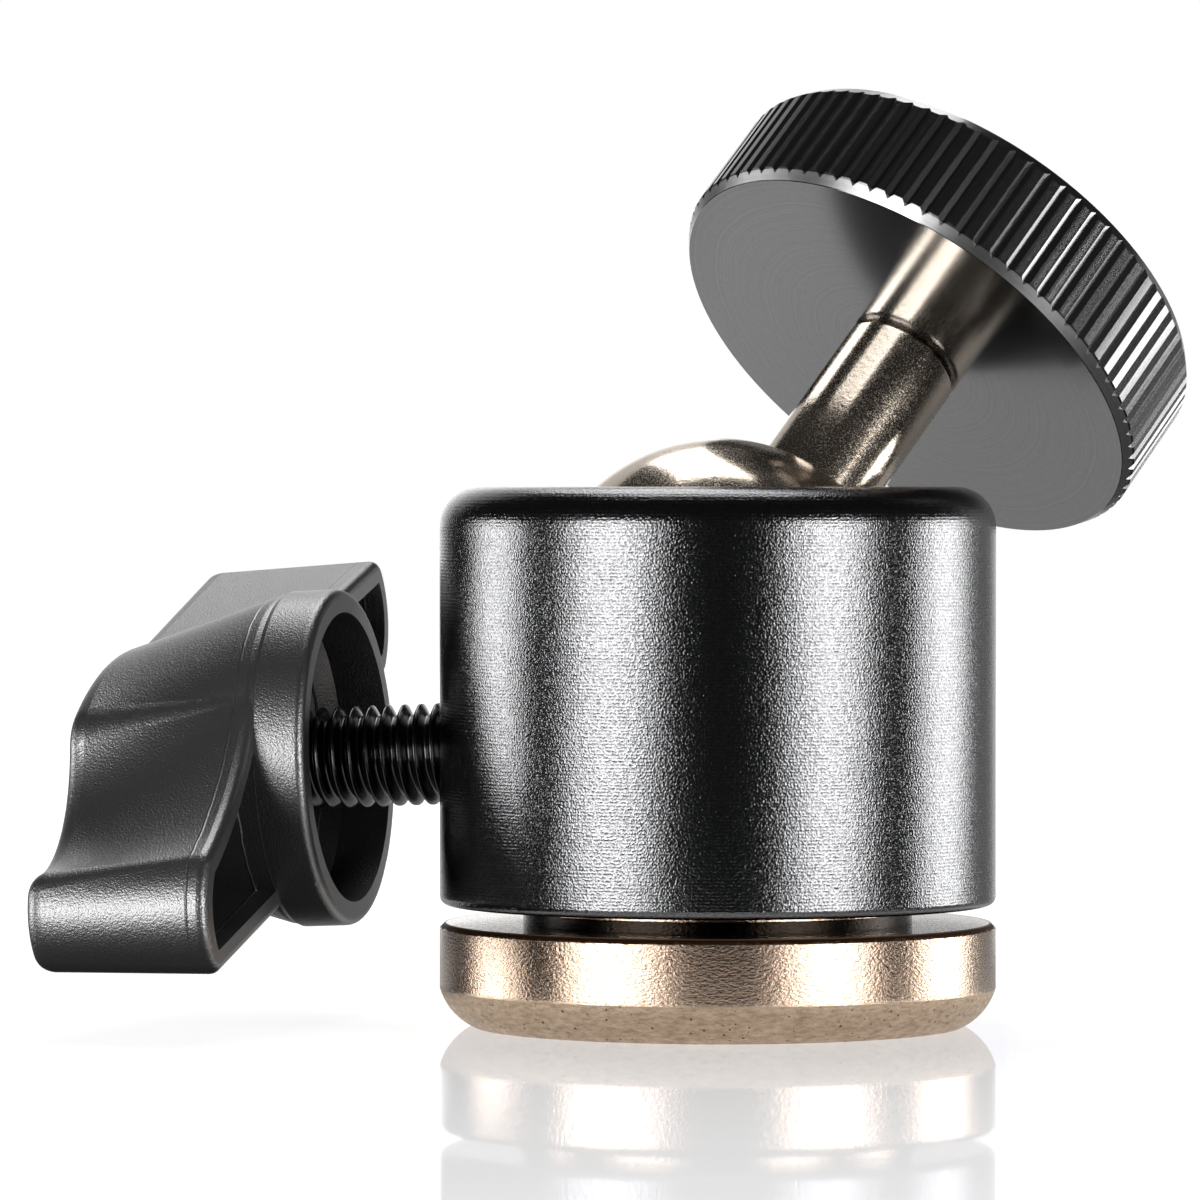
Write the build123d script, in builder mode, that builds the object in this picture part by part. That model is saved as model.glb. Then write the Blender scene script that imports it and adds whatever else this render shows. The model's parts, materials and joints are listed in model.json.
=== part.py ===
"""Mini tripod ball head: panning base, notched housing, ball on a stem, knurled camera disc and wing knob.

Millimetres, +Z up. The origin is the centre of the base's underside, on the pan axis.
+X is to the right and +Y away from a viewer who sees the lock knob on the left.
"""
import os
from math import cos, radians, sin, sqrt, tan

from build123d import *

# ---- Driving dimensions -------------------------------------------------------------------------
# Fits and gaps
running_clearance = 0.10  # radial, spigot in the bore
ball_clearance = 0.04  # radial, ball in its two seats
thread_clearance = 0.05  # radial, plain cylinders that stand for mating threads
seat_fit = 0.05  # between pieces that stay together
stem_clearance = 0.5  # each side of the stem in the notch
edge_break = 0.3  # small chamfers on inner edges

# Base
base_diameter = 32.0
base_height = 5.95
base_bevel_width = 1.9
base_bevel_height = 2.2
base_bevel_bulge = (0.36, 0.42)  # where its arc passes, as shares of its width and height
base_edge_chamfer = 0.3
pan_gap = 1.05  # open height between base and housing
tripod_hole_diameter = 5.2  # minor diameter of a 1/4"-20 thread
tripod_hole_depth = 7.5
drill_point_angle = 118.0
base_groove_depth = 1.5  # 90 degree V-groove that the thrust tip wedges in
base_groove_wall = 1.3  # metal behind the groove

# Housing
housing_diameter = 32.0
housing_height = 24.0
housing_top_fillet = 2.3
housing_bottom_fillet = 0.5
bore_diameter = 22.6
lip_thickness = 2.4
lip_opening_diameter = 18.8
lip_edge_chamfer = 0.5

# Ball and stem
ball_diameter = 21.0
ball_rise = 2.8  # top of the ball above the housing
stem_diameter = 7.0
stem_reach = 21.0  # ball centre to the disc's underside
stem_tilt = 43.5  # degrees from vertical
stem_azimuth = 41.0  # degrees from +X, also the notch's direction
stem_end_chamfer = 0.25
stem_tail_diameter = 5.0
stem_tail_length = 6.5
stem_tail_chamfer = 0.4
stem_tail_spare = 0.5  # ball's hole beyond the tail
camera_thread_diameter = 6.35  # 1/4"-20, where it stands free
camera_thread_pitch_diameter = 5.52  # where it runs in the disc's tapped hole
camera_thread_height = 5.0  # above the disc's rim
camera_thread_chamfer = 0.7
disc_end_clearance = 0.05  # along the stem, at both faces of the disc

# Seats
seat_floor_thickness = 1.3
seat_hole_diameter = 5.0
seat_chamfer = 0.5
seat_set_back = 0.2  # below the spigot's top
spring_height = 0.9
spring_thickness = 0.35
spring_width = 3.2
spigot_wall = 1.0
ring_height = 3.1

# Camera disc
disc_diameter = 30.4
disc_thickness = 7.6
disc_chamfer_width = 0.45
disc_chamfer_height = 0.7
knurl_count = 81
knurl_depth = 0.2
knurl_width = 0.64
pad_recess_depth = 1.2
pad_rim = 2.0  # width of the disc's rim round the pad
pad_hole_diameter = 10.0
pad_stand = 0.5  # pad above the disc's rim
pad_groove_count = 3
pad_groove_width = 0.8
pad_groove_depth = 0.4

# Lock screw and thrust tip
lock_azimuth = 167.0  # degrees from +X, the side that the knob is on
lock_below_ball = 7.8  # ball's centre down to where the screw's axis meets the housing's wall
lock_droop = 2.5  # degrees that the screw leans down outwards
lock_thread_diameter = 6.0  # M6 x 1
tip_diameter = 4.4
tip_shank_diameter = 2.4
tip_shank_length = 2.4
tip_nose_radius = 0.35
tip_rim = 0.6  # short cylinder behind the cone
tip_gap = 0.15  # cone to the groove's foot, along the screw
screw_chamfer = 0.5
screw_socket_spare = 0.2
screw_head_diameter = 8.0
screw_head_length = 3.5

# Wing knob, measured from the housing's wall along the screw
knob_gap = 6.0  # wall to the hub's mouth
knob_hub_diameter = 19.6
knob_wall = 1.35
knob_mouth_length = 2.9  # hub that stands out beyond the wings
knob_wing_length = 11.0
knob_end_wall = 1.8
knob_boss_diameter = 10.4
knob_boss_recess = 6.5  # mouth to the boss's face
knob_boss_draft = 0.4
knob_cup_floor = 4.3  # floor round the boss to the knob's end
knob_wing_tip_x = 17.9
knob_wing_tip_y = 11.2
knob_tip_round = 1.5
knob_shoulder_round = 3.0
knob_end_round = 1.2
knob_rim_round = 0.6
knob_hub_taper_width = 1.2
knob_hub_taper_length = 2.4
knob_mouth_round = 0.5

# ---- Derived sizes and places -------------------------------------------------------------------
housing_radius = housing_diameter / 2
bore_radius = bore_diameter / 2
base_radius = base_diameter / 2
ball_radius = ball_diameter / 2
stem_radius = stem_diameter / 2
disc_radius = disc_diameter / 2
housing_bottom = base_height + pan_gap
housing_top = housing_bottom + housing_height
ball_height = housing_top + ball_rise - ball_radius
ball_centre = Vector(0, 0, ball_height)
seat_radius = ball_radius + ball_clearance
spigot_radius = bore_radius - running_clearance
notch_radius = stem_radius + stem_clearance
notch_bottom = ball_height - notch_radius
lip_bottom = housing_top - lip_thickness

tilt = radians(stem_tilt)
azimuth = radians(stem_azimuth)
notch_direction = Vector(cos(azimuth), sin(azimuth), 0)
stem_direction = notch_direction * sin(tilt) + Vector(0, 0, cos(tilt))
stem_side = notch_direction * cos(tilt) - Vector(0, 0, sin(tilt))
stem_axis = Axis(ball_centre, stem_direction)

droop = radians(lock_droop)
lock_height = ball_height - lock_below_ball
lock_side = Vector(cos(radians(lock_azimuth)), sin(radians(lock_azimuth)), 0)
lock_direction = lock_side * cos(droop) - Vector(0, 0, sin(droop))
lock_origin = lock_side * housing_radius + Vector(0, 0, lock_height)
lock_axis = Axis(lock_origin, lock_direction)
lock_across = Vector(0, 0, 1).cross(lock_direction)


def section_plane(origin, radial, axis):
    """Plane whose x runs out along radial and whose y runs along axis."""
    return Plane(origin=origin, x_dir=radial, z_dir=radial.cross(axis))


def across_stem(distance):
    """Plane square to the stem, at a distance from the ball's centre."""
    return Plane(origin=ball_centre + stem_direction * distance, x_dir=stem_side, z_dir=stem_direction)


def across_lock(distance):
    """Plane square to the screw, at a distance out from the housing's wall."""
    return Plane(origin=lock_origin + lock_direction * distance, x_dir=lock_across, z_dir=lock_direction)


stem_section = section_plane(ball_centre, stem_side, stem_direction)
lock_up = lock_direction.cross(lock_across)
lock_section = section_plane(lock_origin, lock_up, lock_direction)


def ball_half_chord(height):
    """Radius of the seats' sphere at a height above the base's underside."""
    return sqrt(seat_radius**2 - (height - ball_height) ** 2)


# Seat pocket in the spigot: a cylinder, a 45 degree cone beside the groove, then a wider cylinder
spigot_top = notch_bottom - stem_clearance
seat_bottom = ball_height - ball_radius - seat_floor_thickness
pocket_floor = seat_bottom - spring_height
pocket_wide_radius = spigot_radius - spigot_wall
groove_mid_radius = spigot_radius - base_groove_depth / 2
groove_height = lock_height + (housing_radius - groove_mid_radius) * tan(droop)
pocket_narrow_radius = spigot_radius - base_groove_depth - base_groove_wall
cone_start = groove_height
cone_end = cone_start + pocket_wide_radius - pocket_narrow_radius
seat_top = spigot_top - seat_set_back

# ---- Base with its spigot -----------------------------------------------------------------------
drill_radius = tripod_hole_diameter / 2
drill_point = drill_radius / tan(radians(drill_point_angle / 2))
bevel_radius = base_radius - base_bevel_width
bevel_mid = (
    base_radius - base_bevel_bulge[0] * base_bevel_width,
    base_bevel_bulge[1] * base_bevel_height,
)

with BuildPart() as base_plate:
    with BuildSketch(Plane.XZ):
        with BuildLine():
            Polyline(
                (0, pocket_floor),
                (0, tripod_hole_depth + drill_point),
                (drill_radius, tripod_hole_depth),
                (drill_radius, 0),
                (bevel_radius, 0),
            )
            ThreePointArc((bevel_radius, 0), bevel_mid, (base_radius, base_bevel_height))
            Polyline(
                (base_radius, base_bevel_height),
                (base_radius, base_height - base_edge_chamfer),
                (base_radius - base_edge_chamfer, base_height),
                (spigot_radius, base_height),
                (spigot_radius, groove_height - base_groove_depth),
                (spigot_radius - base_groove_depth, groove_height),
                (spigot_radius, groove_height + base_groove_depth),
                (spigot_radius, spigot_top - edge_break),
                (spigot_radius - edge_break, spigot_top),
                (pocket_wide_radius, spigot_top),
                (pocket_wide_radius, cone_end),
                (pocket_narrow_radius, cone_start),
                (pocket_narrow_radius, pocket_floor),
                (0, pocket_floor),
            )
        make_face()
    revolve(axis=Axis.Z)

# ---- Spring and seat under the ball -------------------------------------------------------------
spring_outer = pocket_narrow_radius - edge_break
spring_inner = spring_outer - spring_width

with BuildPart() as disc_spring:
    with BuildSketch(Plane.XZ):
        with BuildLine():
            Polyline(
                (spring_outer, pocket_floor),
                (spring_outer, pocket_floor + spring_thickness),
                (spring_inner, seat_bottom),
                (spring_inner, seat_bottom - spring_thickness),
                close=True,
            )
        make_face()
    revolve(axis=Axis.Z)

seat_hole_radius = seat_hole_diameter / 2
seat_foot = ball_height - sqrt(seat_radius**2 - seat_hole_radius**2)
seat_narrow = pocket_narrow_radius - seat_fit
seat_wide = pocket_wide_radius - seat_fit

with BuildPart() as lower_ball_seat:
    with BuildSketch(Plane.XZ):
        with BuildLine():
            Polyline(
                (seat_hole_radius, seat_foot),
                (seat_hole_radius, seat_bottom),
                (seat_narrow - seat_chamfer, seat_bottom),
                (seat_narrow, seat_bottom + seat_chamfer),
                (seat_narrow, cone_start),
                (seat_wide, cone_end),
                (seat_wide, seat_top),
                (ball_half_chord(seat_top), seat_top),
            )
            ThreePointArc(
                (ball_half_chord(seat_top), seat_top),
                (ball_half_chord((seat_top + seat_foot) / 2), (seat_top + seat_foot) / 2),
                (seat_hole_radius, seat_foot),
            )
        make_face()
    revolve(axis=Axis.Z)

# ---- Housing ------------------------------------------------------------------------------------
lip_radius = lip_opening_diameter / 2
screw_hole_radius = lock_thread_diameter / 2

with BuildPart() as housing:
    with BuildSketch(Plane.XZ):
        with BuildLine():
            Polyline(
                (bore_radius, housing_bottom + edge_break),
                (bore_radius, lip_bottom),
                (lip_radius, lip_bottom),
                (lip_radius, housing_top - lip_edge_chamfer),
                (lip_radius + lip_edge_chamfer, housing_top),
                (housing_radius, housing_top),
                (housing_radius, housing_bottom),
                (bore_radius + edge_break, housing_bottom),
                close=True,
            )
        make_face()
    revolve(axis=Axis.Z)
    fillet(housing.edges().group_by(Axis.Z)[-1].sort_by(SortBy.RADIUS)[-1], radius=housing_top_fillet)
    fillet(housing.edges().group_by(Axis.Z)[0].sort_by(SortBy.RADIUS)[-1], radius=housing_bottom_fillet)
    notch_across = Vector(0, 0, 1).cross(notch_direction)
    notch_plane = Plane(origin=ball_centre, x_dir=notch_across, z_dir=notch_direction)
    with BuildSketch(notch_plane):
        Circle(notch_radius)
        with Locations((0, housing_top - ball_height)):
            Rectangle(2 * notch_radius, 2 * (housing_top - ball_height))
    extrude(amount=housing_diameter, mode=Mode.SUBTRACT)
    with BuildSketch(across_lock(bore_radius / 2 - housing_radius)):
        Circle(screw_hole_radius)
    extrude(amount=housing_diameter / 2, mode=Mode.SUBTRACT)

# ---- Split ring that the ball locks against -----------------------------------------------------
ring_bottom = lip_bottom - ring_height
ring_outer = bore_radius - seat_fit
ring_gap = 2 * (notch_radius + edge_break)

with BuildPart() as upper_seat_ring:
    with BuildSketch(Plane.XZ):
        with BuildLine():
            Polyline(
                (ball_half_chord(ring_bottom), ring_bottom),
                (ring_outer, ring_bottom),
                (ring_outer, lip_bottom),
                (ball_half_chord(lip_bottom), lip_bottom),
            )
            ThreePointArc(
                (ball_half_chord(lip_bottom), lip_bottom),
                (ball_half_chord(lip_bottom - ring_height / 2), lip_bottom - ring_height / 2),
                (ball_half_chord(ring_bottom), ring_bottom),
            )
        make_face()
    revolve(axis=Axis.Z)
    with BuildSketch(notch_plane):
        Rectangle(ring_gap, housing_height)
    extrude(amount=housing_diameter, mode=Mode.SUBTRACT)

# ---- Ball, with a flat and a blind hole for the stem --------------------------------------------
flat_distance = sqrt(ball_radius**2 - stem_radius**2)
tail_radius = stem_tail_diameter / 2

with BuildPart() as ball:
    with Locations(ball_centre):
        Sphere(ball_radius)
    with BuildSketch(across_stem(flat_distance)):
        Circle(ball_radius)
    extrude(amount=ball_radius, mode=Mode.SUBTRACT)
    with BuildSketch(across_stem(flat_distance - stem_tail_length - stem_tail_spare)):
        Circle(tail_radius + seat_fit)
    extrude(amount=ball_radius, mode=Mode.SUBTRACT)

# ---- Stem, from its tail in the ball to the camera thread ---------------------------------------
thread_radius = camera_thread_diameter / 2
engaged_radius = camera_thread_pitch_diameter / 2
shoulder = stem_reach - disc_end_clearance
tail_end = flat_distance - stem_tail_length
disc_top = stem_reach + disc_thickness
disc_floor = disc_top - pad_recess_depth
thread_top = disc_top + camera_thread_height

with BuildPart() as camera_stem:
    with BuildSketch(stem_section):
        with BuildLine():
            Polyline(
                (0, tail_end),
                (tail_radius - stem_tail_chamfer, tail_end),
                (tail_radius, tail_end + stem_tail_chamfer),
                (tail_radius, flat_distance),
                (stem_radius, flat_distance),
                (stem_radius, shoulder - stem_end_chamfer),
                (stem_radius - stem_end_chamfer, shoulder),
                (engaged_radius, shoulder),
                (engaged_radius, disc_floor + disc_end_clearance),
                (thread_radius, disc_floor + disc_end_clearance),
                (thread_radius, thread_top - camera_thread_chamfer),
                (thread_radius - camera_thread_chamfer, thread_top),
                (0, thread_top),
                close=True,
            )
        make_face()
    revolve(axis=stem_axis)

# ---- Knurled camera disc ------------------------------------------------------------------------
disc_face_radius = disc_radius - disc_chamfer_width
recess_radius = disc_radius - pad_rim
disc_hole_radius = engaged_radius + thread_clearance

with BuildPart() as platform_disc:
    with BuildSketch(stem_section):
        with BuildLine():
            Polyline(
                (disc_hole_radius, stem_reach),
                (disc_face_radius, stem_reach),
                (disc_radius, stem_reach + disc_chamfer_height),
                (disc_radius, disc_top - disc_chamfer_height),
                (disc_face_radius, disc_top),
                (recess_radius, disc_top),
                (recess_radius, disc_floor),
                (disc_hole_radius, disc_floor),
                close=True,
            )
        make_face()
    revolve(axis=stem_axis)
    with BuildSketch(across_stem(stem_reach)):
        with PolarLocations(disc_radius, knurl_count):
            half_width = knurl_width / 2
            Polygon((-knurl_depth, 0), (0, -half_width), (half_width, 0), (0, half_width), align=None)
    extrude(amount=disc_thickness, mode=Mode.SUBTRACT)

# ---- Ribbed pad in the disc ---------------------------------------------------------------------
pad_outer = recess_radius - seat_fit
pad_inner = pad_hole_diameter / 2
pad_bottom = disc_floor
pad_top = disc_top + pad_stand
pad_rib = (pad_outer - pad_inner - pad_groove_count * pad_groove_width) / (pad_groove_count + 1)

with BuildPart() as rubber_pad:
    with BuildSketch(stem_section):
        with Locations(((pad_outer + pad_inner) / 2, (pad_top + pad_bottom) / 2)):
            Rectangle(pad_outer - pad_inner, pad_top - pad_bottom)
        for groove in range(pad_groove_count):
            groove_start = pad_inner + pad_rib + groove * (pad_rib + pad_groove_width)
            with Locations((groove_start + pad_groove_width / 2, pad_top)):
                Rectangle(pad_groove_width, 2 * pad_groove_depth, mode=Mode.SUBTRACT)
    revolve(axis=stem_axis)

# ---- Thrust tip: a cone that wedges in the base's groove, with a snap-in shank ------------------
tip_radius = tip_diameter / 2
nose = -(housing_radius - spigot_radius + base_groove_depth) / cos(droop) + tip_gap + tip_nose_radius
cone_back = nose + tip_radius - tip_nose_radius
tip_back = cone_back + tip_rim
shank_radius = tip_shank_diameter / 2

with BuildPart() as thrust_tip:
    with BuildSketch(lock_section):
        with BuildLine():
            Polyline(
                (0, nose),
                (tip_nose_radius, nose),
                (tip_radius, cone_back),
                (tip_radius, tip_back),
                (shank_radius, tip_back),
                (shank_radius, tip_back + tip_shank_length - edge_break),
                (shank_radius - edge_break, tip_back + tip_shank_length),
                (0, tip_back + tip_shank_length),
                close=True,
            )
        make_face()
    revolve(axis=lock_axis)

# ---- Lock screw ---------------------------------------------------------------------------------
screw_radius = screw_hole_radius - thread_clearance
screw_front = tip_back + seat_fit
socket_radius = shank_radius + thread_clearance
socket_end = tip_back + tip_shank_length + screw_socket_spare
knob_end = knob_gap + knob_mouth_length + knob_wing_length
head_end = knob_end - knob_end_wall
head_start = head_end - screw_head_length
head_radius = screw_head_diameter / 2

with BuildPart() as lock_screw:
    with BuildSketch(lock_section):
        with BuildLine():
            Polyline(
                (0, socket_end),
                (socket_radius, socket_end),
                (socket_radius, screw_front),
                (screw_radius - screw_chamfer, screw_front),
                (screw_radius, screw_front + screw_chamfer),
                (screw_radius, head_start),
                (head_radius, head_start),
                (head_radius, head_end),
                (0, head_end),
                close=True,
            )
        make_face()
    revolve(axis=lock_axis)

# ---- Wing knob ----------------------------------------------------------------------------------
# Half of the wings' outline at their rim and at the knob's end: x runs across the screw, y up it.
# The other half is the same turned by 180 degrees, so the two wings make an S.
hub_radius = knob_hub_diameter / 2
boss_radius = knob_boss_diameter / 2
wing_start = knob_gap + knob_mouth_length
wing_rim = {
    "tip_corner": (1.03 * knob_wing_tip_x, -1.03 * knob_wing_tip_y),
    "crown_start": (-0.51 * hub_radius, 0.86 * hub_radius),
    "crown_middle": (0.26 * hub_radius, 0.966 * hub_radius),
    "shoulder": (0.92 * hub_radius, 0.39 * hub_radius),
    "scallop": (0.75 * knob_wing_tip_x, -0.08 * knob_wing_tip_y),
    "tip_top": (1.06 * knob_wing_tip_x, -0.41 * knob_wing_tip_y),
    "tip_middle": (1.13 * knob_wing_tip_x, -0.72 * knob_wing_tip_y),
}
wing_end = {
    "tip_corner": (knob_wing_tip_x, -knob_wing_tip_y),
    "crown_start": (-0.20 * hub_radius, 0.67 * hub_radius),
    "crown_middle": (0.56 * hub_radius, 0.56 * hub_radius),
    "shoulder": (1.10 * hub_radius, 0.27 * hub_radius),
    "scallop": (0.70 * knob_wing_tip_x, -0.23 * knob_wing_tip_y),
    "tip_top": (1.055 * knob_wing_tip_x, -0.49 * knob_wing_tip_y),
    "tip_middle": (1.09 * knob_wing_tip_x, -0.75 * knob_wing_tip_y),
}


def wing_point(name, share, turned):
    """One point of the outline, at a share of the way from the wings' rim to the knob's end."""
    start = Vector(*wing_rim[name])
    point = start + (Vector(*wing_end[name]) - start) * share
    return point * -1 if turned else point


def wing_section(share, inset=0.0, rounding=0.0):
    """S-shaped section square to the screw, its tips and shoulders rounded, or made smaller by inset."""
    with BuildSketch(across_lock(wing_start + share * knob_wing_length)) as section:
        with BuildLine():
            for turned in (False, True):
                point = {name: wing_point(name, share, turned) for name in wing_rim}
                Line(wing_point("tip_corner", share, not turned), point["crown_start"])
                ThreePointArc(point["crown_start"], point["crown_middle"], point["shoulder"])
                ThreePointArc(point["shoulder"], point["scallop"], point["tip_top"])
                ThreePointArc(point["tip_top"], point["tip_middle"], point["tip_corner"])
        make_face()
        if rounding:
            shoulders = [wing_point("shoulder", share, turned) for turned in (False, True)]
            corners = [section.vertices().sort_by_distance(place)[0] for place in shoulders]
            fillet(corners, radius=knob_shoulder_round)
            tip_corners = section.vertices().sort_by_distance((0, 0, 0))[-4:]
            fillet(tip_corners, radius=rounding)
        if inset:
            offset(amount=-inset, kind=Kind.TANGENT, mode=Mode.REPLACE)
    return section.sketch


def rounded_end(flat_share, end_share, radius):
    """Loft from the full section to the smaller one at an end face, along a quarter circle."""
    sections = []
    for turn in (0, 45, 90):
        share = flat_share + (end_share - flat_share) * sin(radians(turn))
        inset = radius * (1 - cos(radians(turn)))
        sections.append(wing_section(share, inset=inset, rounding=knob_tip_round))
    loft(sections=sections)


pocket_share = 1 - knob_end_wall / knob_wing_length
rim_end = knob_rim_round / knob_wing_length
dome_start = 1 - knob_end_round / knob_wing_length

# The cores start a little in front of the rim and stay just off the hub, so no two faces coincide
with BuildPart() as wing_cores:
    core_ends = [wing_section(share, inset=knob_wall) for share in (-rim_end / 2, pocket_share)]
    loft(sections=core_ends, ruled=True)
    with BuildSketch(across_lock(0)):
        Circle(hub_radius + seat_fit / 2)
    extrude(amount=knob_end, mode=Mode.SUBTRACT)

with BuildPart() as knob:
    rim_section = wing_section(rim_end, rounding=knob_tip_round)
    dome_section = wing_section(dome_start, rounding=knob_tip_round)
    loft(sections=[rim_section, dome_section], ruled=True)
    rounded_end(rim_end, 0, knob_rim_round)
    rounded_end(dome_start, 1, knob_end_round)
    with BuildSketch(lock_section):
        with BuildLine():
            hub_profile = Polyline(
                (0, knob_gap),
                (hub_radius, knob_gap),
                (hub_radius, wing_start),
                (hub_radius - knob_hub_taper_width, wing_start + knob_hub_taper_length),
                (0, wing_start + knob_hub_taper_length),
                close=True,
            )
        make_face()
        fillet(hub_profile.vertices().group_by(Axis.X)[-1].sort_by(Axis.Y)[0], radius=knob_mouth_round)
    revolve(axis=lock_axis)
    add(wing_cores.part, mode=Mode.SUBTRACT)
    with BuildSketch(lock_section):
        with BuildLine():
            Polyline(
                (0, knob_gap),
                (hub_radius - knob_wall, knob_gap),
                (hub_radius - knob_wall, wing_start),
                (boss_radius + knob_boss_draft, knob_end - knob_cup_floor),
                (boss_radius, knob_end - knob_cup_floor),
                (boss_radius, knob_gap + knob_boss_recess),
                (0, knob_gap + knob_boss_recess),
                close=True,
            )
        make_face()
    revolve(axis=lock_axis, mode=Mode.SUBTRACT)
    with BuildSketch(across_lock(knob_gap)):
        Circle(screw_radius + seat_fit / 2)
    extrude(amount=head_start - knob_gap, mode=Mode.SUBTRACT)
    with BuildSketch(across_lock(head_start)):
        Circle(head_radius + seat_fit / 2)
    extrude(amount=screw_head_length, mode=Mode.SUBTRACT)

# ---- Export -------------------------------------------------------------------------------------
pieces = {
    "base_plate": base_plate,
    "disc_spring": disc_spring,
    "lower_ball_seat": lower_ball_seat,
    "housing": housing,
    "upper_seat_ring": upper_seat_ring,
    "ball": ball,
    "camera_stem": camera_stem,
    "platform_disc": platform_disc,
    "rubber_pad": rubber_pad,
    "thrust_tip": thrust_tip,
    "lock_screw": lock_screw,
    "knob": knob,
}

os.makedirs("parts", exist_ok=True)
for name, piece in pieces.items():
    piece.part.label = name
    export_step(piece.part, f"parts/{name}.step")
    print(name, round(piece.part.volume, 2), "mm3", len(piece.part.solids()), "solid")
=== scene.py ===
# %% [markdown]
# # A mini tripod ball head
#
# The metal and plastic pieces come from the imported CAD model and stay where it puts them. This script
# gives each one the finish of its real material, and builds the screw threads, which the CAD model shows
# as plain cylinders. Everything is in metres: the pan axis is Z, and the base stands on Z = 0.

import json
from math import cos, pi, radians, sin, tan

import bmesh
import bpy
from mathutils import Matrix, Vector


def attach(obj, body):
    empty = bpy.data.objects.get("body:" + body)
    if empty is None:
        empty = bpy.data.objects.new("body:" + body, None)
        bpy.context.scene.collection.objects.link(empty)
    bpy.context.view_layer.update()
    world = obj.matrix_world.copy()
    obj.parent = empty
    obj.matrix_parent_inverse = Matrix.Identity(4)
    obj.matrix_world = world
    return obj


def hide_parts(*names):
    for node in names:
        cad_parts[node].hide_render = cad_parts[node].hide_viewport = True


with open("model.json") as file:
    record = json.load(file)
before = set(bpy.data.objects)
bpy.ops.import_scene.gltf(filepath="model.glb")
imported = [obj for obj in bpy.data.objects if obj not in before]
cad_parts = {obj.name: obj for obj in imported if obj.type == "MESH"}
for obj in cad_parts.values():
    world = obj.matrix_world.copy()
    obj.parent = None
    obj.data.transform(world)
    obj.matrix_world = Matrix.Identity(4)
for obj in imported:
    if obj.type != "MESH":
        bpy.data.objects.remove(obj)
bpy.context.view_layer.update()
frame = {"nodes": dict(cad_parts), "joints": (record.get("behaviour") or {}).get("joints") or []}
nodes = frame["nodes"]
MM = 0.001
print("nodes:", ", ".join(sorted(nodes)))

# %% [markdown]
# The joints of the model say where the axes are, so nothing is measured twice: the stem leans along the
# camera disc's joint, and the lock screw lies along the knob's joint. Distances along an axis come from
# the CAD meshes themselves.

# %% Axes and places
joints = {joint["name"]: joint for joint in frame["joints"]}
stem_axis = Vector(joints["disc_turn"]["axis"]).normalized()
ball_centre = Vector(joints["ball_tilt"]["pos_m"])
screw_axis = Vector(joints["knob_turn"]["axis"]).normalized()
screw_foot = Vector(joints["knob_turn"]["pos_m"])


def reach(node, origin, axis):
    """Lowest and highest distance of a node's points from an origin along an axis."""
    along = [(vertex.co - origin).dot(axis) for vertex in nodes[node].data.vertices]
    return min(along), max(along)


disc_low, disc_high = reach("platform_disc", ball_centre, stem_axis)
stem_low, stem_high = reach("camera_stem", ball_centre, stem_axis)
screw_low, screw_high = reach("lock_screw", screw_foot, screw_axis)
print(f"disc from {disc_low / MM:.2f} to {disc_high / MM:.2f} mm above the ball's centre")
print(f"lock screw from {screw_low / MM:.2f} to {screw_high / MM:.2f} mm along its axis")

# %% [markdown]
# ## Colours and shader nodes
#
# Colours are written as the hex values of a paint chip on a screen. One function turns them into the linear
# values that the renderer works with.

# %% Linear colours


def colour(code):
    """Linear RGBA of an sRGB hex value such as '#c8b8a0'."""
    channels = [int(code[i : i + 2], 16) / 255 for i in (1, 3, 5)]
    return [c / 12.92 if c <= 0.04045 else ((c + 0.055) / 1.055) ** 2.4 for c in channels] + [1.0]


print(f"middle grey #808080 is {colour('#808080')[0]:.3f} in linear light")

# %% [markdown]
# A material is a tree of nodes, and every node is added in the same way: its kind, what goes into each of
# its sockets, and its own settings. Whatever goes in may be a plain value, another node's output, or
# another node, which then gives its first output that is in use.

# %% Adding a node


def add(material, kind, inputs=None, **settings):
    """Add a shader node. inputs maps a socket's name or number to a node, an output or a value."""
    node = material.node_tree.nodes.new("ShaderNode" + kind)
    for name, value in settings.items():
        setattr(node, name, value)
    for name, value in (inputs or {}).items():
        if isinstance(value, bpy.types.Node):
            value = next(output for output in value.outputs if output.enabled)
        if isinstance(value, bpy.types.NodeSocket):
            material.node_tree.links.new(value, node.inputs[name])
        else:
            node.inputs[name].default_value = value
    return node


def new_material(name):
    """An empty material, and the place of each point of the surface, in metres."""
    material = bpy.data.materials.new(name)
    material.use_nodes = True
    material.node_tree.nodes.clear()
    print("material:", material.name)
    return material, add(material, "TexCoord").outputs["Object"]


def dress(node, material):
    """Give a CAD node its material."""
    nodes[node].data.materials.clear()
    nodes[node].data.materials.append(material)
    print(node, "is dressed in", material.name)


print("every kind of node is one of Blender's, such as", bpy.types.ShaderNodeTexNoise.__name__)

# %% [markdown]
# ## Black anodised housing
#
# The barrel is turned from aluminium, blasted with fine glass beads and dyed black. The dents break a
# highlight up into tiny sparks at its edges, and the turning marks show through as level lines. Real dents
# are about half as wide, too fine to show, so they are drawn an eighth of a millimetre across. The dyed
# oxide sends no light back from inside. What shines is the metal, so a dark metallic colour is the
# simplest match. The dents' floors are painted a little darker than their edges, as painted shade in the
# hollows.

# %% Bead-blasted anodised aluminium
BEAD_DENT = 0.125 * MM
DENT_DEPTH = 0.024 * MM
TURNING_FEED = 0.19 * MM
LINE_SHARE = 0.07  # of the dents' depth
DENT_FLOOR, DENT_EDGE = 0.34, 0.66  # most of the relief lies between these


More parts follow.
